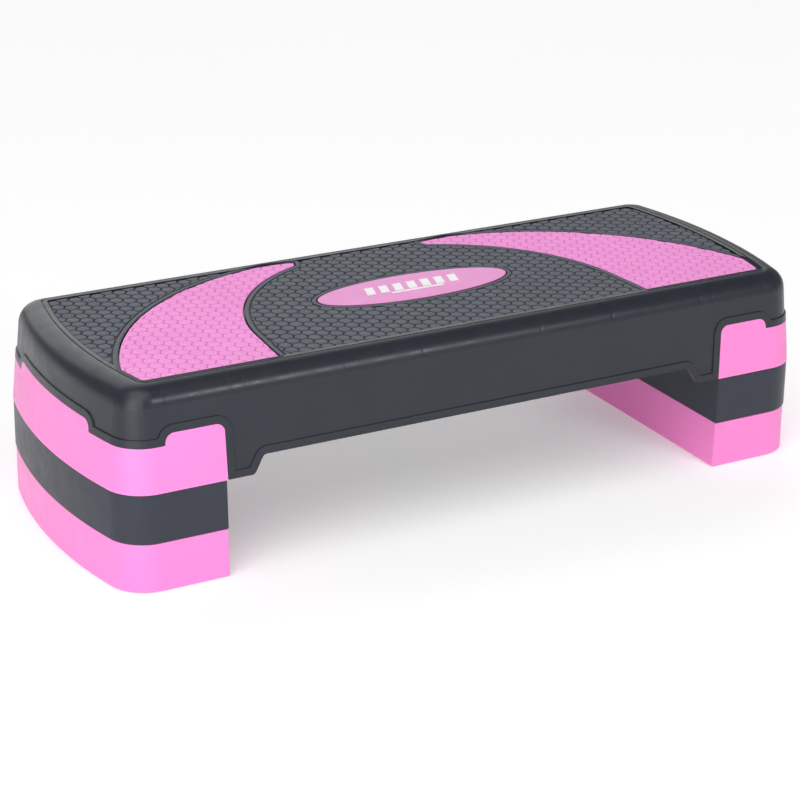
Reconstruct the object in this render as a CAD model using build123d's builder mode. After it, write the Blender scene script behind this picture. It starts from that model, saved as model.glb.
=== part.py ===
from build123d import *
import math
import os

# Aerobic step platform, millimetres. Origin on the floor under the middle of the deck,
# +X along the length, +Y towards the back, +Z up.

# Plan outline, shared by the deck, the leg blocks and the risers
END_APEX = 401.7          # x of the furthest point of the bowed ends
HALF_WIDTH = 156.0        # y of the straight long sides
BOW_RADIUS = 555.0        # radius of the bowed ends
CORNER_RADIUS = 40.0      # plan radius of the four outer corners
INNER_X = 279.6           # x of the flat inner faces of blocks and risers
INNER_CORNER = 1.6        # radius of the upright inner corners

# Heights of the stack
FOOT_PROUD = 1.0          # how far the rubber feet stand below a rim
RISER_HEIGHT = 49.2       # rim to shoulder of one riser
STACK_GAP = 0.3           # play between one storey and the next
LOWER_RIM = FOOT_PROUD
MIDDLE_RIM = LOWER_RIM + RISER_HEIGHT + STACK_GAP
DECK_RIM = MIDDLE_RIM + RISER_HEIGHT + STACK_GAP
TOP_Z = 199.5             # top of the deck's rolled edge

# Riser moulding
WALL = 3.0
RISER_DRAFT = 0.93        # degrees
PLUG_INSET = 4.0          # shoulder width around the locating plug
PLUG_CORNER = 3.0
PLUG_HEIGHT = 8.0
PLUG_DRAFT = 5.0
RIB = 2.4
RIB_LIFT = 12.0           # ribs start this far above the rim, clear of the plug below
RISER_RIBS = 5            # ribs across each riser and block
RISER_RIB_PITCH = 60.0
SHOULDER_ROUND = 1.0
RIM_ROUND = 0.6

# Rubber feet, four under every riser and block
FOOT_PLACES = [(300.0, 137.0), (300.0, -137.0), (364.0, 115.0), (364.0, -115.0)]
FOOT_RADIUS = 11.0
FOOT_SEAT = 3.0           # depth of the round seat that holds a foot
STEM_RADIUS = 3.5
STEM_LENGTH = 8.0
STEM_BORE = 9.0           # a stem's blind hole is a little deeper than the stem
FOOT_BEVEL = 0.6
FOOT_PLAY = 0.05
BOSS_RADIUS = 14.0
POCKET_RADIUS = 12.5      # shallow pocket that receives the foot of the storey above
POCKET_DEPTH = 1.0
PLUG_NOTCH_RADIUS = 15.2

# Deck moulding
DECK_DRAFT = 5.94         # degrees
LIP_INSET = 0.3           # proud band at the bottom of the skirt, at the deck rim
SKIRT_INSET = 1.8         # skirt wall above the band
CAVITY_INSET = 5.0
EDGE_ROUND = 21.0         # rolled top edge
CAVITY_ROUND = 15.0
PLATE_UNDERSIDE = 191.5
LIP_WIDTH = 7.5
LIP_TOP = 170.0
LIP_SINK = 1.0            # how far the band reaches into the skirt wall
LIP_ROUND = 0.5
NOTCH_TOP = 156.0         # top of the notches that show the leg blocks
TAB_BOTTOM = 144.7        # bottom of the tabs at the four corners
TAB_X = 339.5             # where a corner tab ends on the long side
TAB_Y = 88.5              # where a corner tab ends on the short side
SIDE_TAB_X = 279.3        # inner tabs hang from here ...
SIDE_TAB_FOOT = 252.0     # ... to here
RIGHT_TAB_LEAN = 3.4      # the right inner tab is this much wider at its top
SPAN_X = 241.5            # end of the raised middle span
SPAN_Z = 118.0
SPLIT_X = 362.0           # side profile inside this, end profile outside it
FIT = 0.25                # assembly play between deck and leg blocks

# Underside of the deck
DECK_RIB_Z = 165.0
BLOCK_TOP = 176.0
CROSS_RIBS = [0.0, 66.5, 108.5, 150.5, 205.0, 257.0, 272.0]
END_RIBS = [308.0, 338.0]
LONG_RIBS = [30.0, 88.0]
LONG_RIB_END = 4.0        # the long ribs stop this far short of the blocks
SCREW_PLACES = [(298.0, 88.0), (298.0, -88.0), (358.0, 88.0), (358.0, -88.0)]
SCREW_BOSS = 6.5
SCREW_RADIUS = 2.25
SCREW_HEAD = 4.6
SCREW_HEAD_HEIGHT = 3.0
SCREW_BEVEL = 0.8
SCREW_LENGTH = 15.0
SCREW_PLAY = 0.05
SCREW_CLEARANCE = 0.4

# Panels of the leg blocks
PANEL_TOP = 160.0         # their proud faces run up behind the skirt to here
PANEL_HOLLOW_TOP = 137.7  # hollow behind the proud faces, below the corner tabs

# Top panel
PANEL_APEX = 361.0
PANEL_HALF_WIDTH = 121.5
PANEL_BOW = 545.0
PANEL_CORNER = 4.0
RECESS_Z = 195.6
TREAD_Z = 198.9
TREAD_GAP = 0.5           # between a tread and the edge of the panel
INLAY_GAP = 1.5           # between grey treads and the crescents or the badge
BEAD_WIDTH = 4.6          # raised bead between the panel and its border groove
GROOVE_WIDTH = 1.3
GROOVE_DEPTH = 1.0
DITCH_DEPTH = 2.0         # beside the crescents the bead gives way to a sloping ditch
DITCH_SLOPE = 71.0        # degrees from upright

# Oval badge and its plain emblem
BADGE_Y = -4.5
BADGE_LENGTH = 216.0
BADGE_WIDTH = 70.0
BADGE_Z = 199.3
BADGE_ROUND = 0.8
EMBLEM_Z = 199.7
EMBLEM_BARS = 7
EMBLEM_PITCH = 16.0
EMBLEM_BAR = 9.6
EMBLEM_LEAN = 5.4         # how far the top of a bar stands to the right of its foot
EMBLEM_HEIGHT = 19.0
EMBLEM_RISE = 4.0         # the bars stand this far behind the middle of the badge
EMBLEM_RULE = (60.0, 3.4) # the plain rule in front of the bars
EMBLEM_RULE_GAP = 4.0

# Left crescent tread; the right one mirrors it. Both sides are runs of tangent arcs.
OUTER_ARC = [(-354.2, -88.0), (-306.0, 9.0), (-225.0, 82.0)]
OUTER_END = (-108.0, 120.9)
CRESCENT_TIP = (-75.5, 117.5)
INNER_ARC = [(-79.0, 108.5), (-146.0, 64.0), (-189.0, 0.0)]
INNER_BEND = (-203.6, -58.0)
INNER_END = (-208.5, -120.6)
CRESCENT_CORNER = (-348.0, -120.6)

FAR = 500.0               # half-size of construction boxes


def end_face(side, inset, inner_x=INNER_X, inner_round=0.0):
    """Plan face of one end block, drawn inset inside the widest outline."""
    with BuildSketch() as face:
        with Locations((side * (END_APEX - BOW_RADIUS), 0)):
            Circle(BOW_RADIUS - inset)
        with Locations((side * (inner_x + FAR / 2), 0)):
            Rectangle(FAR, 2 * (HALF_WIDTH - inset), mode=Mode.INTERSECT)
        by_reach = face.vertices().sort_by(Axis.X, reverse=side > 0)
        fillet(by_reach[0:2], CORNER_RADIUS - inset)
        if inner_round:
            near = face.vertices().sort_by(Axis.X, reverse=side < 0)[0:2]
            fillet(near, inner_round)
    return face.sketch


def full_face(inset):
    """Plan face of the whole deck, drawn inset inside the widest outline."""
    with BuildSketch() as face:
        with Locations((END_APEX - BOW_RADIUS, 0)):
            Circle(BOW_RADIUS - inset)
        with Locations((BOW_RADIUS - END_APEX, 0)):
            Circle(BOW_RADIUS - inset, mode=Mode.INTERSECT)
        Rectangle(3 * END_APEX, 2 * (HALF_WIDTH - inset), mode=Mode.INTERSECT)
        fillet(face.vertices(), CORNER_RADIUS - inset)
    return face.sketch


def drafted(face, z, height, draft, top_round=0.0, foot_round=0.0):
    """Solid raised from a plan face, leaning in by draft degrees."""
    with BuildPart() as body:
        with BuildSketch(Plane.XY.offset(z)):
            add(face)
        extrude(amount=height, taper=draft)
        if top_round:
            fillet(body.edges().group_by(Axis.Z)[-1], top_round)
        if foot_round:
            fillet(body.edges().group_by(Axis.Z)[0], foot_round)
    return body.part


def side_profile():
    """Everything below the skirt's edge, seen from the front."""
    half = [
        (FAR, TAB_BOTTOM),
        (TAB_X, TAB_BOTTOM),
        (TAB_X, NOTCH_TOP),
        (SIDE_TAB_X, NOTCH_TOP),
        (SIDE_TAB_X, DECK_RIM),
        (SIDE_TAB_FOOT, DECK_RIM),
        (SPAN_X, SPAN_Z),
    ]
    radii = [1.5, 9.5, 9.0, 1.5, 6.0, 6.0]
    other = [(-x, z) for x, z in reversed(half)]
    half[3] = (SIDE_TAB_X + RIGHT_TAB_LEAN, NOTCH_TOP)
    with BuildSketch() as face:
        with BuildLine():
            edge = FilletPolyline(*half, *other, radius=radii + radii[::-1])
            Polyline(edge @ 1, (-FAR, 0), (FAR, 0), edge @ 0)
        make_face()
    return face.sketch


def end_profile():
    """Everything below the skirt's edge, seen from one end."""
    half = [(FAR, TAB_BOTTOM), (TAB_Y, TAB_BOTTOM), (TAB_Y, NOTCH_TOP)]
    radii = [1.5, 9.5]
    other = [(-y, z) for y, z in reversed(half)]
    with BuildSketch() as face:
        with BuildLine():
            edge = FilletPolyline(*half, *other, radius=radii + radii[::-1])
            Polyline(edge @ 1, (-FAR, 0), (FAR, 0), edge @ 0)
        make_face()
    return face.sketch


def below_edge(grow):
    """The space below the skirt's edge, grown outwards by grow."""
    with BuildPart() as end_zone:
        with BuildSketch(Plane.YZ):
            add(end_profile())
            offset(amount=grow, mode=Mode.REPLACE)
        extrude(amount=FAR, both=True)
        Box(2 * SPLIT_X, 2 * FAR, 2 * FAR, mode=Mode.SUBTRACT)
    with BuildPart() as zone:
        with BuildSketch(Plane.XZ):
            add(side_profile())
            offset(amount=grow, mode=Mode.REPLACE)
        extrude(amount=FAR, both=True)
        Box(2 * SPLIT_X, 2 * FAR, 2 * FAR, mode=Mode.INTERSECT)
        add(end_zone.part)
    return zone.part


def mirrored(places, side):
    """The given places on one end of the step."""
    return [(side * x, y) for x, y in places]


def discs(places, radius, z, height):
    """Upright cylinders standing at z."""
    with BuildPart() as group:
        with BuildSketch(Plane.XY.offset(z)):
            with Locations(*places):
                Circle(radius)
        extrude(amount=height)
    return group.part


def make_riser(side, rim):
    """One loose riser: drafted shell, ribbed inside, locating plug on top."""
    shoulder = rim + RISER_HEIGHT
    feet = mirrored(FOOT_PLACES, side)
    outside = end_face(side, 0.0, INNER_X, INNER_CORNER)
    plug_face = end_face(side, PLUG_INSET, INNER_X + PLUG_INSET, PLUG_CORNER)
    inside = end_face(side, WALL, INNER_X + WALL)
    plug_inside = end_face(side, PLUG_INSET + WALL, INNER_X + PLUG_INSET + WALL)
    middle_x = side * (INNER_X + END_APEX) / 2

    with BuildPart() as hollow:
        add(drafted(inside, rim, RISER_HEIGHT - WALL, RISER_DRAFT))
        with BuildSketch(Plane.XY.offset(rim + RIB_LIFT)):
            with Locations((middle_x, 0)):
                Rectangle(RIB, 2 * HALF_WIDTH)
            with GridLocations(0, RISER_RIB_PITCH, 1, RISER_RIBS):
                Rectangle(2 * END_APEX, RIB)
        extrude(amount=RISER_HEIGHT, mode=Mode.SUBTRACT)
        add(discs(feet, BOSS_RADIUS, rim, RISER_HEIGHT), mode=Mode.SUBTRACT)
    with BuildPart() as plug_hollow:
        with BuildSketch(Plane.XY.offset(shoulder - WALL)):
            add(plug_inside)
        extrude(amount=PLUG_HEIGHT)
        add(discs(feet, PLUG_NOTCH_RADIUS + WALL, shoulder - WALL, PLUG_HEIGHT), mode=Mode.SUBTRACT)
    with BuildPart() as plug:
        add(drafted(plug_face, shoulder - WALL / 2, PLUG_HEIGHT + WALL / 2, PLUG_DRAFT, SHOULDER_ROUND))
        add(discs(feet, PLUG_NOTCH_RADIUS, shoulder - WALL, 2 * PLUG_HEIGHT), mode=Mode.SUBTRACT)

    with BuildPart() as riser:
        add(drafted(outside, rim, RISER_HEIGHT, RISER_DRAFT, SHOULDER_ROUND, RIM_ROUND))
        add(plug.part)
        add(hollow.part, mode=Mode.SUBTRACT)
        add(plug_hollow.part, mode=Mode.SUBTRACT)
        add(discs(feet, POCKET_RADIUS, shoulder - POCKET_DEPTH, POCKET_DEPTH), mode=Mode.SUBTRACT)
        add(discs(feet, FOOT_RADIUS + FOOT_PLAY, rim, FOOT_SEAT), mode=Mode.SUBTRACT)
        add(discs(feet, STEM_RADIUS + FOOT_PLAY, rim, FOOT_SEAT + STEM_BORE), mode=Mode.SUBTRACT)
    return riser


def make_feet(side, rim):
    """Four stemmed rubber feet under one riser or block."""
    feet = mirrored(FOOT_PLACES, side)
    with BuildPart() as group:
        add(discs(feet, FOOT_RADIUS, rim - FOOT_PROUD, FOOT_PROUD + FOOT_SEAT))
        chamfer(group.edges().group_by(Axis.Z)[0], FOOT_BEVEL)
        add(discs(feet, STEM_RADIUS, rim + FOOT_SEAT, STEM_LENGTH))
    return group


def deck_solid(inset, z=DECK_RIM, top=TOP_Z, top_round=0.0):
    """The deck's drafted block, drawn inset inside the outline."""
    return drafted(full_face(inset), z, top - z, DECK_DRAFT, top_round)


def panel_face(grow=0.0):
    """Plan face of the top panel: straight sides, bowed ends."""
    with BuildSketch() as face:
        with Locations((PANEL_APEX - PANEL_BOW, 0)):
            Circle(PANEL_BOW + grow)
        with Locations((PANEL_BOW - PANEL_APEX, 0)):
            Circle(PANEL_BOW + grow, mode=Mode.INTERSECT)
        Rectangle(3 * END_APEX, 2 * (PANEL_HALF_WIDTH + grow), mode=Mode.INTERSECT)
        fillet(face.vertices(), PANEL_CORNER + grow)
    return face.sketch


def crescent_face(side, gap=0.0):
    """Plan face of one crescent tread inside the panel, or of the room it leaves."""
    with BuildSketch() as face:
        with BuildLine():
            back = ThreePointArc(*OUTER_ARC)
            back_end = TangentArc(back @ 1, OUTER_END, tangent=back % 1)
            Polyline(back_end @ 1, CRESCENT_TIP, INNER_ARC[0])
            front = ThreePointArc(*INNER_ARC)
            bend = TangentArc(front @ 1, INNER_BEND, tangent=front % 1)
            front_end = TangentArc(bend @ 1, INNER_END, tangent=bend % 1)
            Polyline(front_end @ 1, CRESCENT_CORNER, back @ 0)
        make_face()
        add(panel_face(-TREAD_GAP), mode=Mode.INTERSECT)
        if gap:
            offset(amount=gap, mode=Mode.REPLACE)
        if side > 0:
            mirror(about=Plane.YZ, mode=Mode.REPLACE)
    return face.sketch


def leans_outward(face):
    """Whether a face follows the deck's drafted outside."""
    return abs(face.normal_at().Z - math.sin(math.radians(DECK_DRAFT))) < 0.02


def border_of(faces):
    """Edges that belong to just one of the faces."""
    every = [edge for face in faces for edge in face.edges()]
    return [edge for edge in every if sum(edge.is_same(other) for other in every) == 1]


def write(piece, name):
    """Labels one finished piece and writes its STEP file."""
    piece.part.label = name
    export_step(piece.part, "parts/" + name + ".step")


os.makedirs("parts", exist_ok=True)

# Deck: one ribbed moulding with a castellated skirt and a proud band along the skirt's edge
with BuildPart() as band:
    add(deck_solid(LIP_INSET, top=LIP_TOP))
    add(deck_solid(SKIRT_INSET + LIP_SINK, top=LIP_TOP), mode=Mode.SUBTRACT)
    add(below_edge(LIP_WIDTH), mode=Mode.INTERSECT)
    fillet(border_of(band.faces().filter_by(leans_outward)), LIP_ROUND)

with BuildPart() as deck_hollow:
    add(deck_solid(CAVITY_INSET, top=PLATE_UNDERSIDE, top_round=CAVITY_ROUND))
    with BuildSketch(Plane.XY.offset(DECK_RIB_Z)):
        for x in CROSS_RIBS:
            with Locations((x, 0), (-x, 0)):
                Rectangle(RIB, 2 * HALF_WIDTH)
        for y in LONG_RIBS:
            with Locations((0, y), (0, -y)):
                Rectangle(2 * (INNER_X - LONG_RIB_END), RIB)
    extrude(amount=FAR, mode=Mode.SUBTRACT)
    with BuildSketch(Plane.XY.offset(BLOCK_TOP)):
        for x in END_RIBS:
            with Locations((x, 0), (-x, 0)):
                Rectangle(RIB, 2 * HALF_WIDTH)
        for y in LONG_RIBS:
            with Locations((0, y), (0, -y)):
                Rectangle(2 * END_APEX, RIB)
        with Locations(*mirrored(SCREW_PLACES, 1), *mirrored(SCREW_PLACES, -1)):
            Circle(SCREW_BOSS)
    extrude(amount=FAR, mode=Mode.SUBTRACT)

with BuildPart() as ditch:
    with BuildSketch(Plane.XY.offset(TOP_Z - DITCH_DEPTH)):
        add(crescent_face(-1, BEAD_WIDTH))
        add(crescent_face(1, BEAD_WIDTH))
        add(panel_face(BEAD_WIDTH + GROOVE_WIDTH), mode=Mode.INTERSECT)
    extrude(amount=DITCH_DEPTH)
    bed = panel_face(BEAD_WIDTH + GROOVE_WIDTH)
    add(drafted(bed, TOP_Z - DITCH_DEPTH, DITCH_DEPTH, DITCH_SLOPE), mode=Mode.SUBTRACT)

with BuildPart() as deck_shell:
    add(deck_solid(SKIRT_INSET, top_round=EDGE_ROUND))
    add(band.part)
    add(deck_hollow.part, mode=Mode.SUBTRACT)
    add(below_edge(0.0), mode=Mode.SUBTRACT)
    with BuildSketch(Plane.XY.offset(RECESS_Z)):
        add(panel_face())
    extrude(amount=TOP_Z, mode=Mode.SUBTRACT)
    with BuildSketch(Plane.XY.offset(TOP_Z - GROOVE_DEPTH)):
        add(panel_face(BEAD_WIDTH + GROOVE_WIDTH))
        add(panel_face(BEAD_WIDTH), mode=Mode.SUBTRACT)
    extrude(amount=TOP_Z, mode=Mode.SUBTRACT)
    add(ditch.part, mode=Mode.SUBTRACT)
    pilots = mirrored(SCREW_PLACES, 1) + mirrored(SCREW_PLACES, -1)
    add(discs(pilots, SCREW_RADIUS + SCREW_PLAY, BLOCK_TOP, SCREW_LENGTH), mode=Mode.SUBTRACT)
write(deck_shell, "deck_shell")

# Anti-slip treads let into the top panel
with BuildSketch() as badge_face:
    with Locations((0, BADGE_Y)):
        Ellipse(BADGE_LENGTH / 2, BADGE_WIDTH / 2)

with BuildSketch() as field:
    add(panel_face(-TREAD_GAP))
    add(crescent_face(-1, INLAY_GAP), mode=Mode.SUBTRACT)
    add(crescent_face(1, INLAY_GAP), mode=Mode.SUBTRACT)
fields = field.sketch.faces().sort_by(Axis.X)

with BuildPart() as left_end_tread:
    with BuildSketch(Plane.XY.offset(RECESS_Z)):
        add(fields[0])
    extrude(amount=TREAD_Z - RECESS_Z)
write(left_end_tread, "left_end_tread")

with BuildPart() as right_end_tread:
    with BuildSketch(Plane.XY.offset(RECESS_Z)):
        add(fields[-1])
    extrude(amount=TREAD_Z - RECESS_Z)
write(right_end_tread, "right_end_tread")

with BuildPart() as center_tread:
    with BuildSketch(Plane.XY.offset(RECESS_Z)):
        add(fields[1])
        with Locations((0, BADGE_Y)):
            Ellipse(BADGE_LENGTH / 2 + INLAY_GAP, BADGE_WIDTH / 2 + INLAY_GAP, mode=Mode.SUBTRACT)
    extrude(amount=TREAD_Z - RECESS_Z)
write(center_tread, "center_tread")

for side, side_name in ((-1, "left"), (1, "right")):
    with BuildPart() as crescent_tread:
        with BuildSketch(Plane.XY.offset(RECESS_Z)):
            add(crescent_face(side))
        extrude(amount=TREAD_Z - RECESS_Z)
    write(crescent_tread, side_name + "_crescent_tread")

# Oval badge with a plain emblem of slanted bars over a rule
with BuildPart() as center_badge:
    with BuildSketch(Plane.XY.offset(RECESS_Z)):
        add(badge_face.sketch)
    extrude(amount=BADGE_Z - RECESS_Z)
    fillet(center_badge.edges().group_by(Axis.Z)[-1], BADGE_ROUND)
write(center_badge, "center_badge")

with BuildPart() as badge_emblem:
    bar = [
        (0, 0),
        (EMBLEM_BAR, 0),
        (EMBLEM_BAR + EMBLEM_LEAN, EMBLEM_HEIGHT),
        (EMBLEM_LEAN, EMBLEM_HEIGHT),
    ]
    with BuildSketch(Plane.XY.offset(BADGE_Z)):
        with Locations((0, BADGE_Y + EMBLEM_RISE)):
            with GridLocations(EMBLEM_PITCH, 0, EMBLEM_BARS, 1):
                Polygon(*bar, align=(Align.CENTER, Align.CENTER))
        with Locations((0, BADGE_Y + EMBLEM_RISE - EMBLEM_HEIGHT / 2 - EMBLEM_RULE_GAP)):
            Rectangle(*EMBLEM_RULE)
    extrude(amount=EMBLEM_Z - BADGE_Z)
write(badge_emblem, "badge_emblem")

# Leg blocks, screwed up into the deck; their panels fill the notches of the skirt
block_room = below_edge(-FIT)
for side, side_name in ((-1, "left"), (1, "right")):
    feet = mirrored(FOOT_PLACES, side)
    screws = mirrored(SCREW_PLACES, side)
    middle_x = side * (INNER_X + END_APEX) / 2

    with BuildPart() as outer_band:
        add(deck_solid(LIP_INSET, top=PANEL_TOP))
        add(block_room, mode=Mode.INTERSECT)

    with BuildPart() as block_hollow:
        add(deck_solid(LIP_INSET + WALL, top=PANEL_HOLLOW_TOP))
        add(deck_solid(CAVITY_INSET + FIT + WALL, top=BLOCK_TOP - WALL))
        with Locations((side * (INNER_X + WALL + FAR), 0, 0)):
            Box(2 * FAR, 2 * FAR, 2 * FAR, mode=Mode.INTERSECT)
        with BuildSketch(Plane.XY.offset(DECK_RIM + RIB_LIFT)):
            with Locations((middle_x, 0)):
                Rectangle(RIB, 2 * HALF_WIDTH)
            with GridLocations(0, RISER_RIB_PITCH, 1, RISER_RIBS):
                Rectangle(2 * END_APEX, RIB)
        extrude(amount=FAR, mode=Mode.SUBTRACT)
        add(discs(feet, BOSS_RADIUS, DECK_RIM, BLOCK_TOP - DECK_RIM), mode=Mode.SUBTRACT)

    with BuildPart() as leg_block:
        add(outer_band.part)
        add(deck_solid(CAVITY_INSET + FIT, top=BLOCK_TOP))
        with Locations((side * (INNER_X + FAR), 0, 0)):
            Box(2 * FAR, 2 * FAR, 2 * FAR, mode=Mode.INTERSECT)
        add(block_hollow.part, mode=Mode.SUBTRACT)
        add(discs(feet, FOOT_RADIUS + FOOT_PLAY, DECK_RIM, FOOT_SEAT), mode=Mode.SUBTRACT)
        add(discs(feet, STEM_RADIUS + FOOT_PLAY, DECK_RIM, FOOT_SEAT + STEM_BORE), mode=Mode.SUBTRACT)
        add(discs(screws, SCREW_RADIUS + SCREW_CLEARANCE, BLOCK_TOP - WALL, WALL), mode=Mode.SUBTRACT)
    write(leg_block, side_name + "_leg_block")

    with BuildPart() as leg_screws:
        add(discs(screws, SCREW_HEAD, BLOCK_TOP - WALL - SCREW_HEAD_HEIGHT, SCREW_HEAD_HEIGHT))
        add(discs(screws, SCREW_RADIUS, BLOCK_TOP - WALL, SCREW_LENGTH))
        chamfer(leg_screws.edges().group_by(Axis.Z)[0], SCREW_BEVEL)
    write(leg_screws, side_name + "_leg_screws")

    write(make_feet(side, DECK_RIM), side_name + "_leg_feet")
    write(make_riser(side, MIDDLE_RIM), side_name + "_middle_riser")
    write(make_feet(side, MIDDLE_RIM), side_name + "_middle_feet")
    write(make_riser(side, LOWER_RIM), side_name + "_lower_riser")
    write(make_feet(side, LOWER_RIM), side_name + "_lower_feet")
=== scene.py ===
import math

import bmesh
import bpy
from mathutils import Matrix, Vector
from mathutils.geometry import delaunay_2d_cdt


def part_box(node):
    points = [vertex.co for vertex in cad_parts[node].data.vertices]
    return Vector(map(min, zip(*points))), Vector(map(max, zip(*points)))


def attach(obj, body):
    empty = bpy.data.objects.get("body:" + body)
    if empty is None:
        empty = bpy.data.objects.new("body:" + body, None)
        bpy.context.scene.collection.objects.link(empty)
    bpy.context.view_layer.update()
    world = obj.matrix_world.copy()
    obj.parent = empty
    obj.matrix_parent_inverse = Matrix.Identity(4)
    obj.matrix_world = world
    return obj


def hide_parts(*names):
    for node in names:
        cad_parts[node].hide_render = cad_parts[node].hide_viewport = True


# Aerobic step platform. Everything is in metres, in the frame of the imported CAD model.
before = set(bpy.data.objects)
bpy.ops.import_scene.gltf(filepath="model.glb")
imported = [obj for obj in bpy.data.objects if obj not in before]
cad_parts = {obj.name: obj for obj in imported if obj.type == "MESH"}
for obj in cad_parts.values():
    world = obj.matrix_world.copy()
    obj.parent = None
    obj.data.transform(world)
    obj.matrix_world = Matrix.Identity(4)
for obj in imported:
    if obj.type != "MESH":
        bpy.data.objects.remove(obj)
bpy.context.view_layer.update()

MM = 0.001

# Camera: the angle and distance at which the step is seen
CAMERA_PLACE = (-1.0858, -1.9298, 0.9714)
CAMERA_YAW = 28.944       # degrees, to the right of +Y
CAMERA_PITCH = 24.590     # degrees below the horizon
CAMERA_ROLL = 0.679       # degrees
CAMERA_LENS = 103.1
CAMERA_SHIFT = (0.009, 0.1242)

# Hexagon texture of the treads, in millimetres: flat-topped hexagons in columns along Y
COLUMN_PITCH = 11.78
HEX_PITCH = 13.52
LATTICE_START = (-2.25, -2.06)
# A tile's rounded corner has four points: its two ends, and two that are nearer the tip and drawn in
CORNER_NEAR = 0.3         # place of the near points, as a share of the corner's size
CORNER_DRAWN_IN = 0.16    # how far they are drawn in, as a share of the corner's size
RIM_GROOVE = 1.1          # groove between the smooth rim and the tiles
# Smooth rim beside the crescents and round the badge: distance from the rim's edge, depth below the top
RIM_PROFILE = [(0.0, 0.40), (0.2, 0.15), (0.5, 0.0), (3.4, 0.0), (3.8, 0.2), (4.0, 0.5), (4.15, 1.25)]
SMALLEST_TILE = 16.0      # square millimetres; smaller clippings are left as floor
TOP_TOLERANCE = 0.01      # how near the highest point a vertex counts as on the top face
CUT_TOLERANCE = 1e-3      # points nearer than this are merged when the plan is cut into triangles

# An outline that is moved outwards gets an arc at corners that turn more than this, in radians
ROUNDED_TURN = 0.3
ARC_STEP = 0.2
FAR = 1e9                 # a distance longer than any on the step

# How the tiles of each colour are shaped, in millimetres
GREY_TILE = {
    "groove": 1.35,
    "corner": 0.7,
    "border": 0.5,
    "steps": [(0.20, 0.75), (0.35, 0.30), (0.90, 0.14), (2.00, 0.06)],
}
PINK_TILE = {
    "groove": 0.5,
    "corner": 1.9,
    "border": 0.1,
    "steps": [(0.12, 0.30), (0.30, 0.20), (0.80, 0.12), (2.00, 0.06)],
}

# Marks that the deck's ribs leave in the outside of its wall, as x in metres
RIB_MARKS = (0.0665, 0.1505, 0.257, 0.272, 0.338, 0.360)
RIB_MARK_REACH = 3.0      # millimetres to each side
RIB_MARK_DEPTH = 0.12     # millimetres

# Heights in metres: between the two of a hollow the tread is painted darker, as painted shade in its grooves,
# and below a side the edge is painted dark, as painted shade in the gap round the piece
GREY_HOLLOW_SHADE, GREY_EDGE_SHADE = (0.1985, 0.1979), 0.1976
PINK_HOLLOW_SHADE, PINK_EDGE_SHADE = (0.1986, 0.1981), 0.1982
BADGE_EDGE_SHADE = 0.1987

SHARP_ANGLE = 38.0        # degrees; edges that turn more are kept crisp

# Stage
LIGHT_TARGET = Vector((0.0, 0.0, 0.12))
SENSOR_WIDTH = 36.0       # millimetres
FLOOR_SIZE = 40.0
FLOOR_CELLS = 8
FLOOR_GLOW = 0.24
# The surroundings go from bright to dark between these, as the upward part of the direction looked in
WORLD_BAND = (0.35, 0.75)
WHITE = (1.0, 1.0, 1.0, 1.0)


def srgb(red, green, blue):
    """Linear colour of an sRGB colour given as 0 to 255."""
    def linear(value):
        value = value / 255.0
        return value / 12.92 if value <= 0.04045 else ((value + 0.055) / 1.055) ** 2.4
    return (linear(red), linear(green), linear(blue), 1.0)


# ---------------------------------------------------------------- materials

EDGE_SHADE_COLOUR = srgb(14, 14, 17)   # painted shade on the edges of the let-in pieces
SHOULDER_SHADE_HALF_WIDTH = 0.8 * MM                # half-width of the line of painted shade at a riser's shoulder
SHOULDER_SHADE_CORE = 0.4 * SHOULDER_SHADE_HALF_WIDTH         # half-width of its darkest part
SHOULDER_SHADE_DARKNESS = 0.3               # its painted shade colour, as a share of the riser's
PLUG_HEIGHT = 8.0 * MM         # the risers' plugs stand this far above their shoulders
BLOTCH_SCALE = 14.0            # the noise behind uneven colour
SHEEN_SCALE = 60.0             # the noise behind uneven gloss
SHEEN = 0.05                   # how much the roughness varies with it
GRAIN_SHEEN = 0.04             # how much the roughness varies with the grain
SCATTER_COLOURS = (1.0, 0.35, 0.5)
SCATTER_DEPTH = 2.0 * MM
MAP_RANGE_INPUTS = ("From Min", "From Max", "To Min", "To Max")


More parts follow.
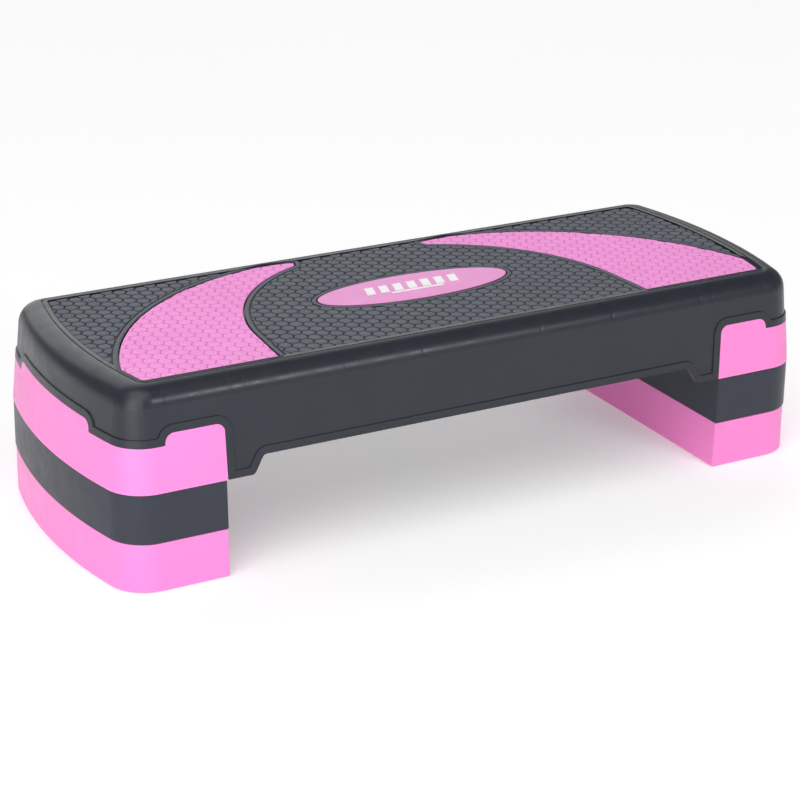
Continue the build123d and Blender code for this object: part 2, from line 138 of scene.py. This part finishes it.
class Nodes:
    """A material's node tree, with short calls to add and join nodes."""

    def __init__(self, name):
        self.material = bpy.data.materials.new(name)
        self.material.use_nodes = True
        self.tree = self.material.node_tree
        self.shader = self.tree.nodes["Principled BSDF"]
        self.place = self.add("ShaderNodeTexCoord").outputs["Object"]

    def add(self, kind, **values):
        node = self.tree.nodes.new(kind)
        for key, value in values.items():
            setattr(node, key, value)
        return node

    def join(self, output, node, socket):
        self.tree.links.new(output, node.inputs[socket])

    def noise(self, scale, detail=2.0, roughness=0.5):
        node = self.add("ShaderNodeTexNoise")
        node.inputs["Scale"].default_value = scale
        node.inputs["Detail"].default_value = detail
        node.inputs["Roughness"].default_value = roughness
        self.join(self.place, node, "Vector")
        return node.outputs["Fac"]

    def spread(self, value, low, high, source=(0.3, 0.7)):
        """value, from the source range, mapped to low..high."""
        node = self.add("ShaderNodeMapRange")
        for key, number in zip(MAP_RANGE_INPUTS, (*source, low, high)):
            node.inputs[key].default_value = number
        self.join(value, node, "Value")
        return node.outputs["Result"]

    def math(self, operation, first, second=None):
        node = self.add("ShaderNodeMath", operation=operation)
        for index, value in enumerate((first, second)):
            if isinstance(value, (int, float)):
                node.inputs[index].default_value = value
            elif value is not None:
                self.join(value, node, index)
        return node.outputs["Value"]

    def mix(self, factor, first, second):
        """Colour between first and second."""
        node = self.add("ShaderNodeMix", data_type="RGBA")
        for key, value in ((0, factor), (6, first), (7, second)):
            if isinstance(value, (int, float, tuple)):
                node.inputs[key].default_value = value
            else:
                self.join(value, node, key)
        return node.outputs[2]

    def axis(self, index):
        """One coordinate of the place on the object."""
        node = self.add("ShaderNodeSeparateXYZ")
        self.join(self.place, node, "Vector")
        return node.outputs[index]

    def bump(self, height, distance, under=None):
        node = self.add("ShaderNodeBump")
        node.inputs["Distance"].default_value = distance
        self.join(height, node, "Height")
        if under is not None:
            self.join(under, node, "Normal")
        return node.outputs["Normal"]


def scaled(colour, factor):
    """A colour made darker or lighter."""
    return tuple(channel * factor for channel in colour[:3]) + (1.0,)


def moulded(name, colour, roughness, grain=0.00003, grain_scale=900.0, variation=0.06, specular=0.5,
            scatter=0.0, depth=None, side=None, shoulder=None, marks=()):
    """Moulded plastic or rubber: fine grain, uneven gloss and colour.

    depth is where hollows start and end and their painted shade colour, the hollows being painted darker as
    shade; side is the height below which the piece's edge is painted dark as shade; shoulder is the height of
    a thin line of painted shade; marks are the places of rib marks along X.
    """
    n = Nodes(name)
    blotch = n.noise(BLOTCH_SCALE, 3.0)
    fine = n.noise(grain_scale, 2.0, 0.6)
    tone = n.mix(n.spread(blotch, 0.0, 1.0), scaled(colour, 1.0 - variation), scaled(colour, 1.0 + variation))
    tone = n.mix(n.spread(fine, 0.0, 0.35), tone, scaled(colour, 1.0 - 2.0 * variation))
    # Painted shade: the colour darkens towards the given colour down into the hollows between the tiles
    if depth:
        top, bottom, hollow_shade_colour = depth
        hollow_shade = n.spread(n.axis(2), 1.0, 0.0, (bottom, top))
        tone = n.mix(hollow_shade, tone, hollow_shade_colour)
    # Painted shade: below the side height the piece's edge takes a near-black colour, for the shade in the
    # gap round it
    if side:
        tone = n.mix(n.math("LESS_THAN", n.axis(2), side), tone, EDGE_SHADE_COLOUR)
    # Painted shade: a thin dark line at the shoulder height, for the shade where the storeys meet
    if shoulder:
        away = n.math("ABSOLUTE", n.math("SUBTRACT", n.axis(2), shoulder))
        tone = n.mix(n.spread(away, 1.0, 0.0, (SHOULDER_SHADE_CORE, SHOULDER_SHADE_HALF_WIDTH)), tone, scaled(colour, SHOULDER_SHADE_DARKNESS))
    n.join(tone, n.shader, "Base Color")
    sheen = n.spread(n.noise(SHEEN_SCALE, 4.0), -SHEEN, SHEEN)
    gloss = n.math("ADD", sheen, n.spread(fine, -GRAIN_SHEEN, GRAIN_SHEEN))
    n.join(n.math("ADD", gloss, roughness), n.shader, "Roughness")
    normal = n.bump(fine, grain)
    if marks:
        across = n.math("ABSOLUTE", n.axis(0))
        height = None
        for mark in marks:
            away = n.math("ABSOLUTE", n.math("SUBTRACT", across, mark))
            ridge = n.spread(away, 1.0, 0.0, (0.0, RIB_MARK_REACH * MM))
            height = ridge if height is None else n.math("ADD", height, ridge)
        normal = n.bump(height, -RIB_MARK_DEPTH * MM, normal)
    n.join(normal, n.shader, "Normal")
    n.shader.inputs["Specular IOR Level"].default_value = specular
    if scatter:
        n.shader.inputs["Subsurface Weight"].default_value = scatter
        n.shader.inputs["Subsurface Radius"].default_value = SCATTER_COLOURS
        n.shader.inputs["Subsurface Scale"].default_value = SCATTER_DEPTH
    return n.material


def brushed_steel():
    """Plated screws: metal with fine turning lines."""
    n = Nodes("screw_steel")
    n.shader.inputs["Metallic"].default_value = 1.0
    lines = n.noise(2500.0, 1.0)
    n.join(n.mix(n.noise(300.0), srgb(170, 172, 176), srgb(205, 206, 208)), n.shader, "Base Color")
    n.join(n.spread(lines, 0.22, 0.4), n.shader, "Roughness")
    n.join(n.bump(lines, 0.00001), n.shader, "Normal")
    return n.material


# ---------------------------------------------------------------- tread outlines, in millimetres

def chained(steps):
    """Closed outlines from the steps round some faces. A step taken both ways is inside, and is left out."""
    follow = {a: b for a, b in steps if (b, a) not in steps}
    loops = []
    while follow:
        spot = next(iter(follow))
        loop = []
        while spot in follow:
            loop.append(spot)
            spot = follow.pop(spot)
        loops.append(loop)
    return loops


def top_loops(node):
    """Outlines of a CAD node's top face, as lists of (x, y), the one with the largest area first."""
    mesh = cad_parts[node].data
    top = max(v.co.z for v in mesh.vertices) - TOP_TOLERANCE * MM
    spots = [(round(v.co.x / MM, 3), round(v.co.y / MM, 3), v.co.z > top) for v in mesh.vertices]
    steps = {}  # a dict, so that the order is the same every time
    for polygon in mesh.polygons:
        corners = [spots[i] for i in polygon.vertices]
        if all(corner[2] for corner in corners):
            for a, b in zip(corners, corners[1:] + corners[:1]):
                steps[a[:2], b[:2]] = True
    return sorted(chained(steps), key=lambda loop: -abs(area(loop)))


def gap_between(loop, other):
    """The room between two outlines where they lie closest."""
    return min(distance_to([other], point) for point in loop)


def area(loop):
    """Signed area, positive for a loop that runs anticlockwise."""
    return 0.5 * sum(a[0] * b[1] - b[0] * a[1] for a, b in zip(loop, loop[1:] + loop[:1]))


def grown(loop, distance):
    """The outline moved outwards by distance, or inwards where that is negative, with rounded corners."""
    if area(loop) < 0:
        loop = loop[::-1]
    moved = []
    count = len(loop)
    for i, (x, y) in enumerate(loop):
        before, after = loop[i - 1], loop[(i + 1) % count]
        a = math.atan2(y - before[1], x - before[0]) - math.pi / 2
        turn = (math.atan2(after[1] - y, after[0] - x) - math.pi / 2 - a + math.pi) % (2 * math.pi) - math.pi
        if turn * distance > ROUNDED_TURN * abs(distance):
            parts = max(2, math.ceil(abs(turn) / ARC_STEP))
            for k in range(parts + 1):
                angle = a + turn * k / parts
                moved.append((x + distance * math.cos(angle), y + distance * math.sin(angle)))
        else:
            reach = distance / math.cos(turn / 2)
            moved.append((x + reach * math.cos(a + turn / 2), y + reach * math.sin(a + turn / 2)))
    return moved


def hexagon(middle, apothem, corner):
    """A flat-topped hexagon whose corners are rounded off."""
    side = 2 * apothem / math.sqrt(3)
    points = []
    for k in range(6):
        angle = math.radians(60 * k)
        tip = Vector((middle[0] + side * math.cos(angle), middle[1] + side * math.sin(angle)))
        for bend, share in ((-1, 1.0), (-1, CORNER_NEAR), (1, CORNER_NEAR), (1, 1.0)):
            along = angle + bend * math.radians(120)
            pull = Vector((math.cos(along), math.sin(along))) * corner * share
            inward = Vector((-math.cos(angle), -math.sin(angle))) * corner * CORNER_DRAWN_IN * (share < 1)
            points.append(tuple(tip + pull + inward))
    return points


def lattice(low, high):
    """Middles of the hexagons over a plan rectangle. All treads share the one lattice."""
    first = math.floor((low[0] - LATTICE_START[0]) / COLUMN_PITCH) - 1
    last = math.ceil((high[0] - LATTICE_START[0]) / COLUMN_PITCH) + 1
    for i in range(first, last + 1):
        x = LATTICE_START[0] + i * COLUMN_PITCH
        start = LATTICE_START[1] + (i % 2) * HEX_PITCH / 2
        nearest = math.floor((low[1] - start) / HEX_PITCH)
        farthest = math.ceil((high[1] - start) / HEX_PITCH)
        for j in range(nearest, farthest + 1):
            yield (x, start + j * HEX_PITCH)


# ---------------------------------------------------------------- tread meshes

def outline_of(triangles):
    """The closed outlines round a set of triangles."""
    return chained({(a, b) for t in triangles for a, b in zip(t, t[1:] + t[:1])})


def rim_height(away, drop):
    """How far below the tread's top the smooth rim is, that far from the crescent or badge it follows."""
    for (near, high), (far, low) in zip(RIM_PROFILE, RIM_PROFILE[1:]):
        if away <= far:
            return high + (low - high) * max(0.0, away - near) / (far - near)
    return drop


def distance_to(loops, point):
    """Distance from a plan point to the nearest of some closed outlines."""
    best = FAR
    for loop in loops:
        for a, b in zip(loop, loop[1:] + loop[:1]):
            along = Vector(b) - Vector(a)
            offset = Vector(point) - Vector(a)
            share = max(0.0, min(1.0, offset.dot(along) / max(along.length_squared, 1e-12)))
            best = min(best, (offset - along * share).length)
    return best


def raise_pad(bm, base, steps, full):
    """A crowned pad on a tile's outline: each step comes in and rises. Clipped tiles come in less."""
    middle = sum((v.co.xy for v in base), Vector((0.0, 0.0))) / len(base)
    height, come_in, below = base[0].co.z, 0.0, base
    for inset, rise in steps:
        height += rise * MM
        come_in += inset / full
        ring = []
        for v in base:
            spot = v.co.xy + (middle - v.co.xy) * come_in
            ring.append(bm.verts.new((spot.x, spot.y, height)))
        for i, v in enumerate(ring):
            bm.faces.new((below[i - 1], below[i], v, ring[i - 1]))
        below = ring
    bm.faces.new(below)


def cut_up(outlines):
    """The plan's points, and its triangles, each with the numbers of the outlines that it lies in."""
    points, faces = [], []
    for loop in outlines:
        faces.append(list(range(len(points), len(points) + len(loop))))
        points += [Vector(p) for p in loop]
    points, _, triangles, _, _, sources = delaunay_2d_cdt(points, [], faces, 0, CUT_TOLERANCE)
    return points, [(tuple(t), set(source)) for t, source in zip(triangles, sources)]


def close_below(bm, bottom):
    """Adds walls from the open edges down to the bottom, and a flat underside."""
    sides = [e for e in bm.edges if e.is_boundary]
    walls = bmesh.ops.extrude_edge_only(bm, edges=sides)["geom"]
    for v in (g for g in walls if isinstance(g, bmesh.types.BMVert)):
        v.co.z = bottom
    under = [g for g in walls if isinstance(g, bmesh.types.BMEdge) and g.is_boundary]
    bmesh.ops.triangle_fill(bm, edges=under, use_beauty=True, normal=(0, 0, -1))
    bmesh.ops.recalc_face_normals(bm, faces=bm.faces)


def make_tread(name, node, shape, keep_clear):
    """A tread slab with hexagonal tiles. keep_clear are outlines that a smooth rim follows on this tread."""
    low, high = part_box(node)
    loops = [loop if area(loop) > 0 else loop[::-1] for loop in top_loops(node)]
    drop = sum(rise for _, rise in shape["steps"])
    apothem = (HEX_PITCH - shape["groove"]) / 2
    flat_low, flat_high = (low.x / MM, low.y / MM), (high.x / MM, high.y / MM)
    contours = [grown(loop, away) for loop in keep_clear for away, _ in RIM_PROFILE[1:]]
    clear = [grown(loop, RIM_PROFILE[-1][0] + RIM_GROOVE) for loop in keep_clear]
    border = grown(loops[0], -shape["border"])
    hexes = [hexagon(m, apothem, shape["corner"]) for m in lattice(flat_low, flat_high)]
    # Number 0 is the tread's own outline, 1 its border and the next are its holes
    outlines = [loops[0], border] + loops[1:] + contours + clear + hexes
    first_hex = len(outlines) - len(hexes)
    first_clear = first_hex - len(clear)
    holes = set(range(2, 1 + len(loops)))

    points, triangles = cut_up(outlines)

    ground, tiles = [], {}
    for triangle, inside in triangles:
        if 0 not in inside or inside & holes:
            continue
        blocked = any(first_clear <= number < first_hex for number in inside)
        if max(inside) >= first_hex and 1 in inside and not blocked:
            tiles.setdefault(max(inside), []).append(triangle)
        else:
            ground.append(triangle)

    bm = bmesh.new()
    verts = {}

    def vert(index):
        if index not in verts:
            away = distance_to(keep_clear, points[index])
            depth = rim_height(away, drop)
            verts[index] = bm.verts.new((points[index].x * MM, points[index].y * MM, high.z - depth * MM))
        return verts[index]

    pads = []
    for members in tiles.values():
        rounds = outline_of(members)
        size = sum(abs(area([tuple(points[c]) for c in loop])) for loop in rounds)
        if len(rounds) == 1 and size > SMALLEST_TILE:
            pads.append(rounds[0])
        else:
            ground += members
    for triangle in ground:
        bm.faces.new([vert(c) for c in triangle])
    for outline in pads:
        raise_pad(bm, [vert(c) for c in outline], shape["steps"], apothem)

    close_below(bm, low.z)
    return finished(bm, name)


def finished(bm, name):
    """A smooth-shaded object from a bmesh, with its sharp edges kept crisp."""
    for f in bm.faces:
        f.smooth = True
    for e in bm.edges:
        if len(e.link_faces) == 2:
            e.smooth = e.calc_face_angle() < math.radians(SHARP_ANGLE)
    mesh = bpy.data.meshes.new(name)
    bm.to_mesh(mesh)
    bm.free()
    piece = bpy.data.objects.new(name, mesh)
    bpy.context.scene.collection.objects.link(piece)
    return piece


def dress(obj, material):
    """Gives an object one material."""
    obj.data.materials.clear()
    obj.data.materials.append(material)


# ---------------------------------------------------------------- stage

def make_camera():
    """The camera, from its place and its turns about three axes."""
    yaw, pitch, roll = (math.radians(a) for a in (CAMERA_YAW, CAMERA_PITCH, CAMERA_ROLL))
    ahead = Vector((math.sin(yaw) * math.cos(pitch), math.cos(yaw) * math.cos(pitch), -math.sin(pitch)))
    level = Vector((math.cos(yaw), -math.sin(yaw), 0.0))
    above = level.cross(ahead)
    right = math.cos(roll) * level + math.sin(roll) * above
    up = -math.sin(roll) * level + math.cos(roll) * above
    turn = Matrix((right, up, -ahead)).transposed()
    data = bpy.data.cameras.new("camera")
    data.sensor_width = SENSOR_WIDTH
    data.lens = CAMERA_LENS
    data.shift_x, data.shift_y = CAMERA_SHIFT
    camera = bpy.data.objects.new("camera", data)
    camera.matrix_world = Matrix.Translation(CAMERA_PLACE) @ turn.to_4x4()
    bpy.context.scene.collection.objects.link(camera)
    bpy.context.scene.camera = camera


def outward(azimuth, elevation):
    """Direction from the step, in degrees. Azimuth 0 is to the front, 90 to the right."""
    a, e = math.radians(azimuth), math.radians(elevation)
    return Vector((math.sin(a) * math.cos(e), -math.cos(a) * math.cos(e), math.sin(e)))


def add_light(data, away, place):
    """Adds a light at a place, shining back along its direction from the step."""
    light = bpy.data.objects.new(data.name, data)
    light.location = place
    light.rotation_mode = "QUATERNION"
    light.rotation_quaternion = (-away).to_track_quat("-Z", "Y")
    bpy.context.scene.collection.objects.link(light)


def make_light(name, azimuth, elevation, distance, size, power):
    """Soft rectangular light that faces the step."""
    away = outward(azimuth, elevation)
    data = bpy.data.lights.new(name, "AREA")
    data.shape = "RECTANGLE"
    data.size, data.size_y = size
    data.energy = power
    add_light(data, away, LIGHT_TARGET + away * distance)


def make_sun(name, azimuth, elevation, strength, spread):
    """Wide soft light, far away, so that it is even over the floor."""
    data = bpy.data.lights.new(name, "SUN")
    data.energy = strength
    data.angle = math.radians(spread)
    add_light(data, outward(azimuth, elevation), (0.0, 0.0, 0.0))


def make_floor():
    """Pale matt floor with a faint glow, which is stage and no part of the step."""
    bm = bmesh.new()
    bmesh.ops.create_grid(bm, x_segments=FLOOR_CELLS, y_segments=FLOOR_CELLS, size=FLOOR_SIZE)
    floor = finished(bm, "floor")
    n = Nodes("pale_floor")
    n.join(n.mix(n.noise(1.5), srgb(243, 243, 243), srgb(245, 245, 245)), n.shader, "Base Color")
    n.shader.inputs["Roughness"].default_value = 0.9
    n.shader.inputs["Specular IOR Level"].default_value = 0.2
    n.shader.inputs["Emission Color"].default_value = WHITE
    n.shader.inputs["Emission Strength"].default_value = FLOOR_GLOW
    dress(floor, n.material)


def make_world(horizon, zenith):
    """Soft studio surroundings, bright low down and dark overhead."""
    world = bpy.data.worlds.new("studio")
    world.use_nodes = True
    tree = world.node_tree
    place = tree.nodes.new("ShaderNodeTexCoord")
    parts = tree.nodes.new("ShaderNodeSeparateXYZ")
    height = tree.nodes.new("ShaderNodeMapRange")
    for key, number in zip(MAP_RANGE_INPUTS, (*WORLD_BAND, horizon, zenith)):
        height.inputs[key].default_value = number
    tree.links.new(place.outputs["Generated"], parts.inputs["Vector"])
    tree.links.new(parts.outputs["Z"], height.inputs["Value"])
    background = tree.nodes["Background"]
    background.inputs["Color"].default_value = WHITE
    tree.links.new(height.outputs["Result"], background.inputs["Strength"])
    bpy.context.scene.world = world


# ---------------------------------------------------------------- the step

bpy.context.scene.view_settings.view_transform = "Standard"
make_camera()
make_floor()
make_world(0.24, 0.15)
make_sun("key", -35.0, 60.0, 1.5, 60.0)
make_sun("back", 170.0, 32.0, 1.0, 60.0)
make_light("front_strip", 20.0, 24.0, 2.6, (0.7, 0.35), 13.0)
make_light("left_soft", -52.0, 12.0, 1.5, (1.0, 1.0), 8.0)

deck_grey = moulded("deck_grey", srgb(35, 39, 48), 0.34, specular=0.42, marks=RIB_MARKS)
# Shoulder heights of the risers, where their materials paint a thin line of shade
grey_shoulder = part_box("left_middle_riser")[1].z - PLUG_HEIGHT
pink_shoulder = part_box("left_lower_riser")[1].z - PLUG_HEIGHT
riser_grey = moulded("riser_grey", srgb(50, 54, 64), 0.40, specular=0.3, shoulder=grey_shoulder)
# The treads' materials paint shade into their hollows and onto their lower edges; the badge's material paints
# shade onto its lower edge
tread_grey = moulded("tread_grey", srgb(80, 83, 95), 0.60, grain=0.00006, grain_scale=1300.0,
                     variation=0.08, depth=(*GREY_HOLLOW_SHADE, srgb(30, 33, 38)), side=GREY_EDGE_SHADE)
tread_pink = moulded("tread_pink", srgb(250, 150, 222), 0.55, grain=0.00004, grain_scale=1300.0,
                     variation=0.03, scatter=0.2, depth=(*PINK_HOLLOW_SHADE, srgb(205, 95, 178)), side=PINK_EDGE_SHADE)
badge_pink = moulded("badge_pink", srgb(232, 132, 204), 0.35, variation=0.02, scatter=0.1,
                     side=BADGE_EDGE_SHADE)
riser_pink = moulded("riser_pink", srgb(249, 135, 207), 0.38, variation=0.02, scatter=0.1,
                     shoulder=pink_shoulder)
print_white = moulded("print_white", srgb(248, 248, 248), 0.45, grain=0.00001, variation=0.02)
foot_black = moulded("foot_black", srgb(28, 28, 30), 0.75, grain=0.00005)
steel = brushed_steel()

finishes = {
    "deck_shell": deck_grey,
    "center_badge": badge_pink,
    "badge_emblem": print_white,
}
for side in ("left", "right"):
    finishes[side + "_leg_block"] = riser_pink
    finishes[side + "_leg_screws"] = steel
    finishes[side + "_middle_riser"] = riser_grey
    finishes[side + "_lower_riser"] = riser_pink
    for storey in ("leg", "middle", "lower"):
        finishes[side + "_" + storey + "_feet"] = foot_black
for node, material in finishes.items():
    dress(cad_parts[node], material)

badge_room = top_loops("center_tread")[1]
crescent_rooms = {side: top_loops(side + "_crescent_tread")[0] for side in ("left", "right")}
gap = gap_between(badge_room, top_loops("center_badge")[0])
treads = [
    ("center_tread", GREY_TILE, tread_grey, "grey_tread",
     [badge_room] + [grown(loop, gap) for loop in crescent_rooms.values()]),
    ("left_end_tread", GREY_TILE, tread_grey, "grey_tread", [grown(crescent_rooms["left"], gap)]),
    ("right_end_tread", GREY_TILE, tread_grey, "grey_tread", [grown(crescent_rooms["right"], gap)]),
    ("left_crescent_tread", PINK_TILE, tread_pink, "pink_tread", []),
    ("right_crescent_tread", PINK_TILE, tread_pink, "pink_tread", []),
]
for node, shape, material, slot, clear in treads:
    tread = make_tread(node.replace("tread", "tiles"), node, shape, clear)
    dress(tread, material)
    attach(tread, "deck")
    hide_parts(node)
